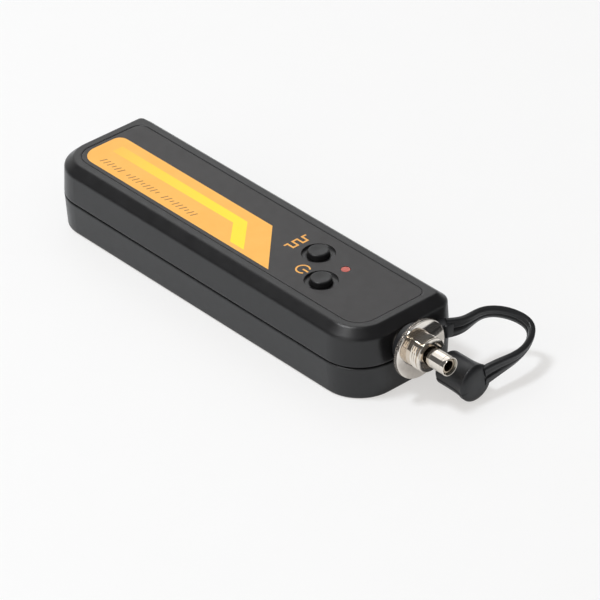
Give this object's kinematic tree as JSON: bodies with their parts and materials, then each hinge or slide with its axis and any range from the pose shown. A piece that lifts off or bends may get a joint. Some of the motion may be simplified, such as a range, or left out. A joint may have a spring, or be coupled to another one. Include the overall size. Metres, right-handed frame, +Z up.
{
  "type": "visual fault locator",
  "caption": "Pocket red-light source for fibre links: slim two-part case, pushbuttons, metal adapter for a ferrule, and a rubber dust cap on a looped strap.",
  "frame": {"origin": "centre of the case's underside, the flat face it rests on", "axes": "+X towards the fibre adapter, along the case; +Y to the side the strap loops to; +Z up through the label"},
  "size_m": [0.12, 0.0409, 0.0181],
  "materials": {
    "shell": "fine matte",
    "label": "satin film, printed",
    "door": "fine matte",
    "buttons": "matte",
    "switch": "satin",
    "lamp": "clear tinted",
    "board": "satin solder mask",
    "chip": "matte",
    "capacitor": "printed sleeve",
    "laser_brass": "turned",
    "diode_can": "gold plated",
    "lens": "polished",
    "nickel": "polished nickel",
    "collar": "moulded",
    "sleeve": "ground",
    "cell": "plain printed jacket",
    "contact": "nickel plated",
    "screw": "black zinc",
    "rubber_cap": "semi-matte"
  },
  "bodies": {
    "case": {"bottom_shell": "shell", "top_shell": "shell", "label_film": "label", "mode_switch": "switch", "power_switch": "switch", "status_lamp": "lamp", "circuit_board": "board", "driver_chip": "chip", "smoothing_capacitor": "capacitor", "laser_barrel": "laser_brass", "laser_diode": "diode_can", "collimating_lens": "lens", "adapter_body": "nickel", "adapter_collar": "collar", "ferrule_tube": "nickel", "split_sleeve": "sleeve", "cell_left": "cell", "cell_right": "cell", "bridge_plate": "contact", "plate_left": "contact", "plate_right": "contact", "spring_far": "contact", "spring_near": "contact", "case_screw_1": "screw", "case_screw_2": "screw", "case_screw_3": "screw", "case_screw_4": "screw"},
    "door": {"battery_door": "door"},
    "mode_key": {"mode_button": "buttons"},
    "power_key": {"power_button": "buttons"},
    "cap": {"dust_cap": "rubber_cap"}
  },
  "joints": [
    {"name": "mode_press", "type": "slide", "parent": "case", "child": "mode_key", "axis": [0, 0, -1], "range_m": [0, 0.0004], "stiffness_N_per_m": 2000},
    {"name": "power_press", "type": "slide", "parent": "case", "child": "power_key", "axis": [0, 0, -1], "range_m": [0, 0.0004], "stiffness_N_per_m": 2000},
    {"name": "door_slide", "type": "slide", "parent": "case", "child": "door", "axis": [-1, 0, 0], "range_m": [0, 0.04]},
    {"name": "cap_swing", "type": "hinge", "parent": "case", "child": "cap", "pos_m": [0.0536, 0, 0.0112], "axis": [1, 0, 0], "range_deg": [0, 180]}
  ]
}
